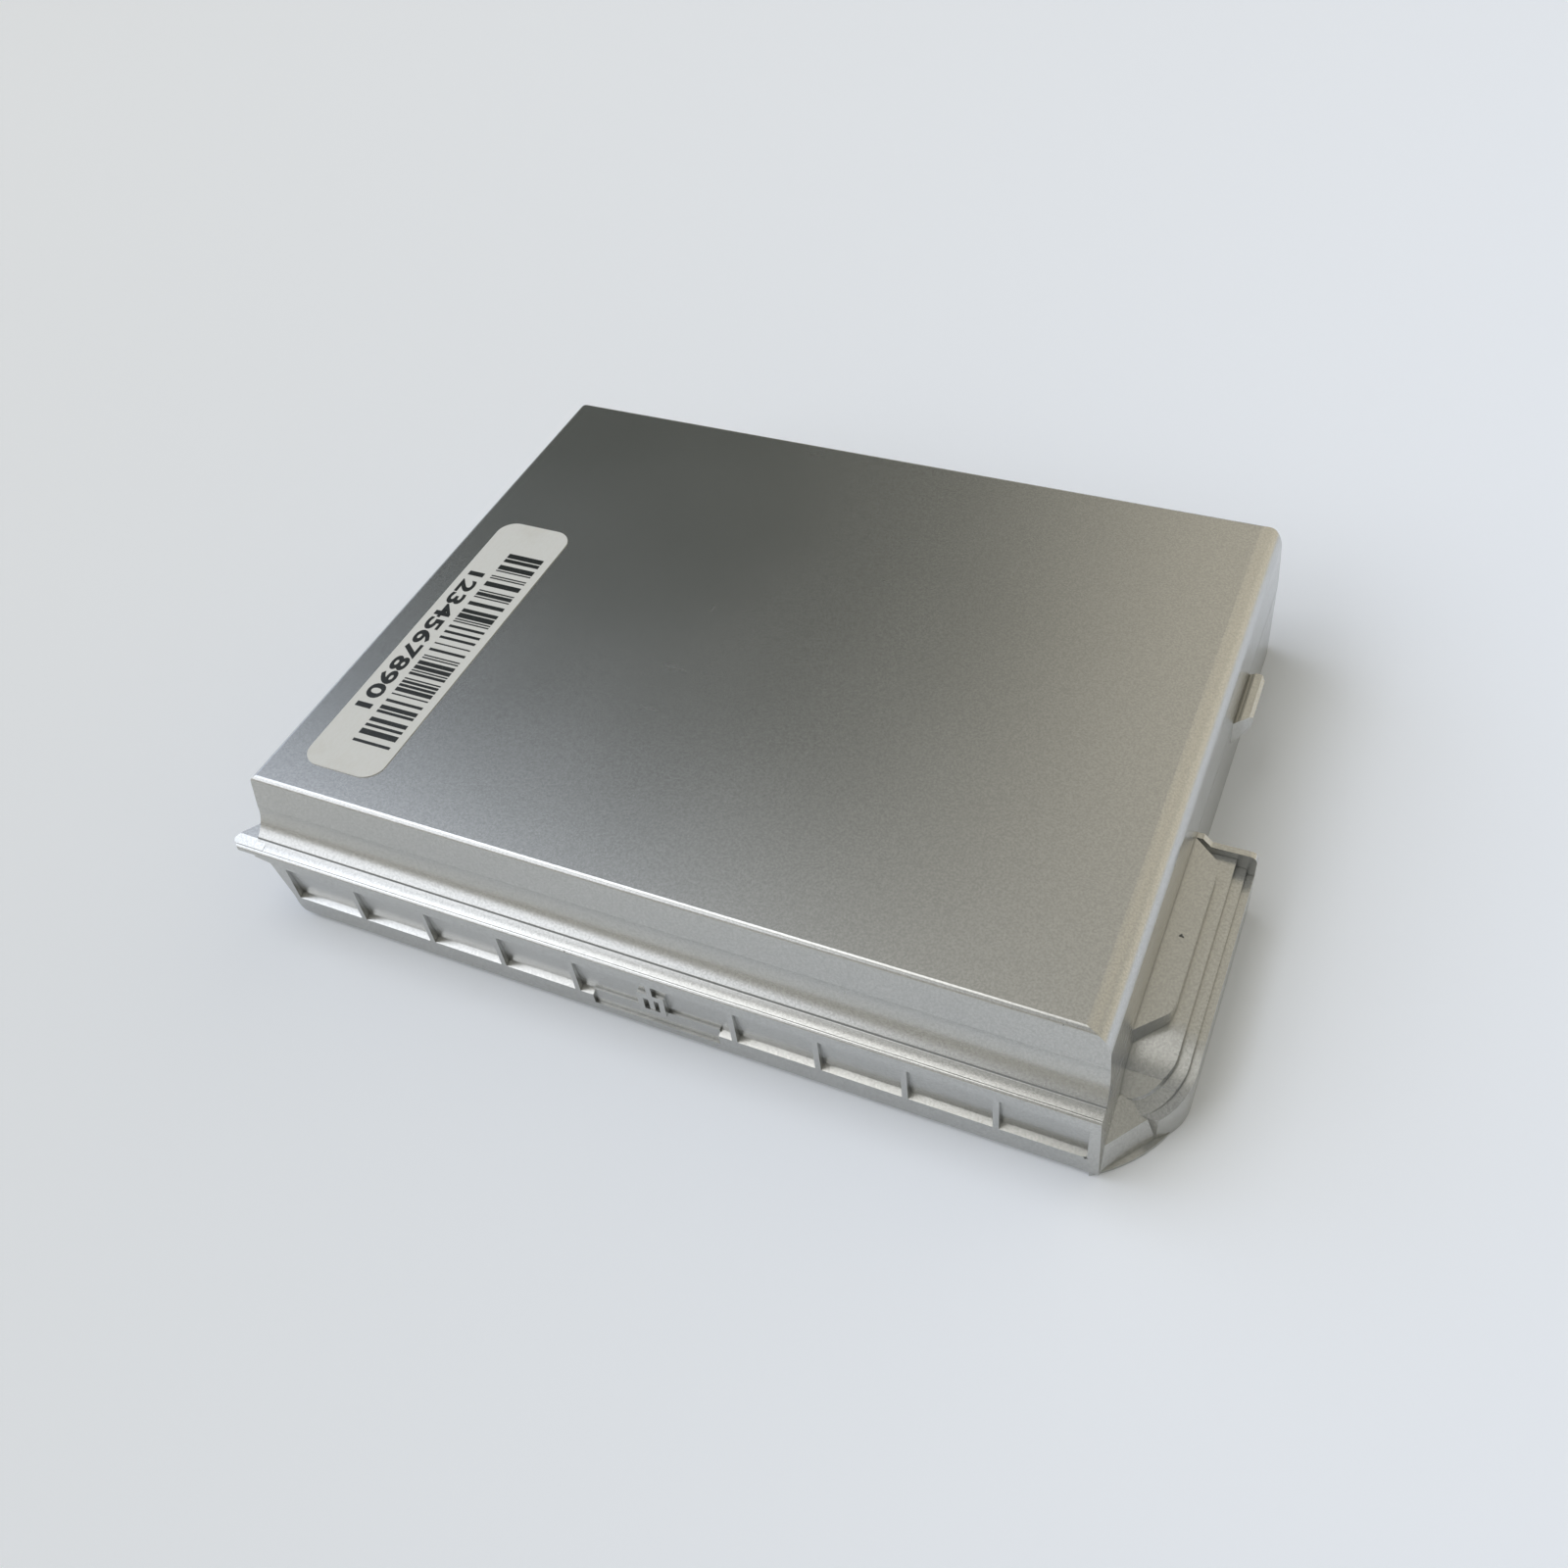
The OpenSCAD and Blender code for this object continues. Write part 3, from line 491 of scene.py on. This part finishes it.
@dataclass
class Mouldings:
    """The painted cover and case."""

    paint: SilverPaint = field(
        default_factory=lambda: SilverPaint(
            "silver_flake_lacquer",
            "CBCBC8",
            Sheen.LACQUER,
            chips=(
                Chip(50.6, -5.1, 13.9, 0.45),
                Chip(52.2, -5.2, 13.6, 0.55),
                Chip(53.4, -5.1, 13.7, 0.40),
                Chip(36.4, -4.9, 14.0, 0.28),
                Chip(44.1, -5.0, 13.9, 0.22),
                Chip(70.3, -5.0, 13.9, 0.24),
                Chip(118.4, -0.2, 23.7, 0.30),
                Chip(120.1, -0.2, 23.7, 0.34),
                Chip(123.4, -5.0, 4.3, 0.40),
                Chip(127.0, 24.6, 13.6, 0.30),
            ),
        )
    )

    def build(self) -> None:
        """Dresses both mouldings."""
        dress(self.paint.make(), "top_cover", "bottom_case")


@dataclass
class StickerLabel:
    """The paper label with its generic bars and plain counting digits."""

    bars_x: tuple[float, float] = (10.1, 16.5)
    bars_y: tuple[float, float] = (11.1, 56.0)
    bar_count: int = 38
    widest: int = 4
    skew: float = 1.4
    digits: str = "12345678901"
    digits_x: float = 6.05
    digits_y: tuple[float, float] = (17.4, 50.0)
    digit_height: float = 2.9
    print_rise: float = 0.02
    seed: int = 5

    @property
    def paper_top(self) -> float:
        """Height of the paper's face, in millimetres."""
        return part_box("paper_label")[1][2] / MM

    def bar_tree(self, ink: bpy.types.Material) -> bpy.types.NodeTree:
        """Builds the node tree that sets the bars out along the label.

        Args:
            ink: the print's material.

        Returns:
            The tree, with named inputs for the bars' sizes.
        """
        tree = bpy.data.node_groups.new("label_bars_tree", "GeometryNodeTree")
        face = tree.interface
        face.new_socket("Geometry", in_out="OUTPUT", socket_type="NodeSocketGeometry")
        sizes = (
            ("Length", self.bars_y[1] - self.bars_y[0]),
            ("Height", self.bars_x[1] - self.bars_x[0]),
            ("Ink", self.print_rise),
        )
        for name, value in sizes:
            made = face.new_socket(name, in_out="INPUT", socket_type="NodeSocketFloat")
            made.default_value = value * MM
        for name, value in (("Count", self.bar_count), ("Widest", self.widest), ("Seed", self.seed)):
            made = face.new_socket(name, in_out="INPUT", socket_type="NodeSocketInt")
            made.default_value = value
        def calc(operation: str, first: Any, second: Any = 0.0) -> bpy.types.NodeSocket:
            """One arithmetic step of the tree."""
            terms = {0: first, 1: second}
            return add_node(tree, "ShaderNodeMath", {"operation": operation}, terms).outputs[0]

        given = add_node(tree, "NodeGroupInput").outputs
        line = add_node(
            tree, "GeometryNodeMeshLine", None, {"Count": given["Count"], "Offset": (0.0, 0.0, 0.0)}
        ).outputs[0]

        def modules(shift: int) -> bpy.types.NodeSocket:
            """Whole number of modules of a bar or of the gap after it."""
            seed = calc("ADD", given["Seed"], float(shift))
            drawn = add_node(
                tree, "FunctionNodeRandomValue", {"data_type": "FLOAT"}, {2: 0.0, 3: 1.0, "Seed": seed}
            ).outputs[1]
            # Most bars are thin, as in such codes
            return calc("CEIL", calc("MULTIPLY", calc("POWER", drawn, self.skew), given["Widest"]))

        bar, gap = modules(0), modules(40)
        both = calc("ADD", bar, gap)
        run = add_node(tree, "GeometryNodeAccumulateField", {"data_type": "FLOAT"}, {0: both})
        middle = calc("ADD", run.outputs["Trailing"], calc("MULTIPLY", bar, 0.5))
        unit = calc("DIVIDE", given["Length"], run.outputs["Total"])
        along = calc("MULTIPLY", middle, unit)
        width = calc("MULTIPLY", bar, unit)
        spot = add_node(tree, "ShaderNodeCombineXYZ", None, {"Y": along}).outputs[0]
        moved = {"Geometry": line, "Position": spot}
        placed = add_node(tree, "GeometryNodeSetPosition", None, moved).outputs[0]
        cube = add_node(tree, "GeometryNodeMeshCube", None, {"Size": (1.0, 1.0, 1.0)}).outputs[0]
        size = add_node(
            tree, "ShaderNodeCombineXYZ", None, {"X": given["Height"], "Y": width, "Z": given["Ink"]}
        ).outputs[0]
        bars = add_node(
            tree, "GeometryNodeInstanceOnPoints", None, {"Points": placed, "Instance": cube, "Scale": size}
        ).outputs[0]
        solid = add_node(tree, "GeometryNodeRealizeInstances", None, {"Geometry": bars}).outputs[0]
        dressed = {"Geometry": solid, "Material": ink}
        inked = add_node(tree, "GeometryNodeSetMaterial", None, dressed).outputs[0]
        add_node(tree, "NodeGroupOutput", None, {"Geometry": inked})
        return tree

    def bars(self, ink: bpy.types.Material) -> bpy.types.Object:
        """Makes the bars as one plain mesh.

        Args:
            ink: the print's material.

        Returns:
            The finished piece.
        """
        holder = bpy.data.objects.new("label_bars", bpy.data.meshes.new("label_bars_seed"))
        bpy.context.scene.collection.objects.link(holder)
        maker = holder.modifiers.new("bars", "NODES")
        maker.node_group = self.bar_tree(ink)
        named = {s.name: s.identifier for s in maker.node_group.interface.items_tree if s.in_out == "INPUT"}
        maker[named["Count"]] = self.bar_count
        maker[named["Seed"]] = self.seed
        graph = bpy.context.evaluated_depsgraph_get()
        baked = bpy.data.meshes.new_from_object(holder.evaluated_get(graph))
        holder.modifiers.remove(maker)
        holder.data = baked
        corner = case_point((self.bars_x[0] + self.bars_x[1]) / 2, self.bars_y[0], 0.0)
        corner.z = (self.paper_top + self.print_rise / 2) * MM
        baked.transform(Matrix.Translation(corner))
        return holder

    def digit_row(self, ink: bpy.types.Material) -> bpy.types.Object:
        """Makes the row of digits, read from the back of the pack to its front.

        Args:
            ink: the print's material.

        Returns:
            The finished piece.
        """
        curve = bpy.data.curves.new("label_digits", "FONT")
        curve.body = self.digits
        curve.size = self.digit_height / 0.7 * MM
        curve.extrude = self.print_rise / 2 * MM
        curve.offset = 0.12 * MM
        curve.resolution_u = 4
        curve.space_character = 1.0
        holder = bpy.data.objects.new("label_digits", curve)
        bpy.context.scene.collection.objects.link(holder)
        graph = bpy.context.evaluated_depsgraph_get()
        mesh = bpy.data.meshes.new_from_object(holder.evaluated_get(graph))
        bpy.data.objects.remove(holder)
        left = min(v.co.x for v in mesh.vertices)
        right = max(v.co.x for v in mesh.vertices)
        foot = min(v.co.y for v in mesh.vertices)
        top = max(v.co.y for v in mesh.vertices)
        span = (self.digits_y[1] - self.digits_y[0]) * MM
        stretch = Matrix.Diagonal((span / (right - left), self.digit_height * MM / (top - foot), 1.0, 1.0))
        start = case_point(self.digits_x, self.digits_y[1], 0.0)
        start.z = (self.paper_top + self.print_rise / 2) * MM
        turn = Matrix.Rotation(-math.pi / 2, 4, "Z")
        mesh.transform(Matrix.Translation(start) @ turn @ stretch @ Matrix.Translation((-left, -foot, 0.0)))
        mesh.materials.clear()
        mesh.materials.append(ink)
        piece = bpy.data.objects.new("label_digits", mesh)
        bpy.context.scene.collection.objects.link(piece)
        return piece

    def build(self) -> None:
        """Dresses the paper and lays the print on it."""
        dress(LabelPaper("coated_label_paper", "D6D6D1").make(), "paper_label")
        ink = ThermalPrint("transfer_print_ink", "1E211F").make()
        settle(self.bars(ink))
        settle(self.digit_row(ink))


@dataclass
class CellPack:
    """The six cells with their strips, sheets, foam and leads."""

    cells: int = 6

    def build(self) -> None:
        """Dresses everything in front of the partition."""
        names = [f"cell_{i + 1}" for i in range(self.cells)]
        dress(ShrinkSleeve("heat_shrunk_sleeve", "1E8C7C", Sheen.GLOSS).make(), *names)
        strips = [f"{end}_{width}_nickel_strip" for end in ("front", "rear") for width in ("wide", "narrow")]
        dress(RolledMetal("rolled_nickel", "C4BFB2", Sheen.SATIN).make(), *strips)
        sheets = ("front_insulating_sheet", "rear_insulating_sheet")
        dress(FibreSheet("pressed_fish_paper", "7FA08A", Sheen.DULL).make(), *sheets)
        dress(CellFoam("closed_cell_foam", "3C3E40", Sheen.DULL).make(), "foam_strips")
        dress(Finish("red_silicone_rubber", "B3261E", Sheen.MATT).make(), "positive_lead")
        dress(Finish("yellow_silicone_rubber", "D6A51B", Sheen.MATT).make(), "middle_lead")


@dataclass
class BoardAndContacts:
    """The protection board, its parts and the contact block."""

    def build(self) -> None:
        """Dresses everything behind the partition."""
        dress(GlassLaminate("glass_epoxy_board", "1E5B38", Sheen.GLOSS).make(), "protection_board")
        chips = ("controller_chip", "switching_transistors")
        dress(Finish("epoxy_chip_moulding", "2A2B2D", Sheen.MATT).make(), *chips)
        dress(Finish("alumina_resistor_glaze", "34302C", Sheen.SATIN).make(), "sense_resistor")
        dress(Finish("fuse_ceramic", "D8D2C2", Sheen.SATIN).make(), "board_fuse")
        dress(Finish("capacitor_ceramic", "A8875C", Sheen.SATIN).make(), "board_capacitors")
        dress(Finish("glass_filled_block_moulding", "1D1E20", Sheen.MATT).make(), "contact_block")
        dress(Finish("thermistor_epoxy", "26282A", Sheen.SATIN).make(), "thermistor")
        dress(RolledMetal("gold_plated_bronze", "D9B25E", Sheen.GLOSS, 0.2).make(), "contact_clips")


@dataclass(frozen=True)
class Lobe:
    """A soft patch of the room, full inside core and gone at rim, both in degrees from aim."""

    aim: tuple[float, float, float]
    core: float
    rim: float
    tone: str
    level: float


@dataclass
class Studio:
    """Pale floor, soft room and one lamp at a plain level."""

    floor_radius: float = 6.0
    floor_gap_mm: float = 0.02
    sky: str = "F3F1E6"
    sky_level: float = 0.50
    lobes: tuple[Lobe, ...] = (
        Lobe((-0.82, 0.14, 0.56), 22.0, 43.0, "DAE5FA", 1.50),
        Lobe((0.25, 0.80, 0.55), 8.0, 34.0, "FFF6E0", 0.76),
        Lobe((0.68, 0.72, 0.14), 10.0, 24.0, "FFF6E0", 0.90),
        Lobe((-0.50, 0.69, 0.53), 8.0, 26.0, "7A8A70", 0.13),
        Lobe((0.30, -0.62, 0.72), 8.0, 32.0, "E4E8EC", 0.30),
        Lobe((-0.57, -0.60, 0.56), 13.0, 26.0, "F6F9FF", 1.80),
    )

    def floor(self) -> None:
        """Lays the floor just under the pack."""
        mesh = bpy.data.meshes.new("floor_paper")
        edit = bmesh.new()
        bmesh.ops.create_circle(edit, cap_ends=True, segments=64, radius=self.floor_radius)
        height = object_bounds()[0][2] - self.floor_gap_mm * MM
        bmesh.ops.translate(edit, verts=edit.verts, vec=(0.0, 0.0, height))
        edit.to_mesh(mesh)
        edit.free()
        mesh.materials.append(FloorPaper("matt_background_paper", "FAFCFF").make())
        floor = bpy.data.objects.new("floor_paper", mesh)
        bpy.context.scene.collection.objects.link(floor)
        floor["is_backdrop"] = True

    def room(self) -> None:
        """Sets the room that the paint mirrors: grey, with soft patches of light and one of shade."""
        world = bpy.data.worlds.new("pale_room")
        bpy.context.scene.world = world
        world.use_nodes = True
        tree = world.node_tree
        tree.nodes.clear()
        way = add_node(tree, "ShaderNodeTexCoord").outputs["Generated"]
        colour: Any = shade(self.sky, self.sky_level)
        for lobe in self.lobes:
            aim = Vector(lobe.aim).normalized()
            turned = {"operation": "DOT_PRODUCT"}
            dot = add_node(tree, "ShaderNodeVectorMath", turned, {0: way, 1: aim}).outputs["Value"]
            near, far = math.cos(math.radians(lobe.core)), math.cos(math.radians(lobe.rim))
            share = add_node(
                tree,
                "ShaderNodeMapRange",
                {"interpolation_type": "SMOOTHSTEP"},
                {"Value": dot, "From Min": far, "From Max": near},
            ).outputs["Result"]
            tone = tuple(lobe.level * c for c in linear(lobe.tone)[:3]) + (1.0,)
            mixed = {0: share, 6: colour, 7: tone}
            colour = add_node(tree, "ShaderNodeMix", {"data_type": "RGBA"}, mixed).outputs[2]
        room = add_node(tree, "ShaderNodeBackground", None, {"Color": colour, "Strength": 1.0}).outputs[0]
        add_node(tree, "ShaderNodeOutputWorld", None, {"Surface": room})

    def lamp(
        self, name: str, place: tuple[float, float, float], size: float, watts: float, tone: str
    ) -> None:
        """Hangs a square soft lamp that looks at the pack.

        Args:
            name: the lamp's name.
            place: where it hangs, in metres.
            size: the length of its side, in metres.
            watts: its power.
            tone: its colour, as sRGB hex.
        """
        light = bpy.data.lights.new(name, "AREA")
        light.shape = "SQUARE"
        light.size = size
        light.energy = watts
        light.color = linear(tone)[:3]
        holder = bpy.data.objects.new(name, light)
        holder.location = place
        holder.rotation_euler = (-Vector(place)).to_track_quat("-Z", "Y").to_euler()
        bpy.context.scene.collection.objects.link(holder)

    def build(self) -> None:
        """Sets floor, room and lamp."""
        self.floor()
        self.room()
        self.lamp("overhead_softbox", (-0.34, 0.00, 0.82), 0.62, 1.9, "FFFFFF")


@dataclass
class PhotoCamera:
    """The camera where the photograph was taken, found by fitting the pack's corners."""

    place: tuple[float, float, float] = (0.075786, -0.146480, 0.173737)
    turn: tuple[float, float, float] = (44.36559, 5.17186, 23.98989)
    lens: float = 34.99
    shift: tuple[float, float] = (0.0082, -0.0222)

    def build(self) -> None:
        """Makes the camera and sets it as the scene's."""
        eye = bpy.data.cameras.new("photo_camera")
        eye.sensor_width = 36.0
        eye.lens = self.lens
        eye.shift_x, eye.shift_y = self.shift
        eye.clip_start = 0.005
        eye.clip_end = 20.0
        eye.dof.use_dof = False
        holder = bpy.data.objects.new("photo_camera", eye)
        holder.location = self.place
        holder.rotation_euler = [math.radians(a) for a in self.turn]
        bpy.context.scene.collection.objects.link(holder)
        bpy.context.scene.camera = holder


def main() -> None:
    """Builds the scene in order."""
    logging.basicConfig(level=logging.INFO, format="%(name)s: %(message)s")
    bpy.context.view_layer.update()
    PhotoCamera().build()
    for part in (Mouldings(), StickerLabel(), CellPack(), BoardAndContacts(), Studio()):
        part.build()
        log.info("built %s", type(part).__name__)
    bpy.context.scene.view_settings.view_transform = "Standard"


if __name__ == "__main__":
    main()
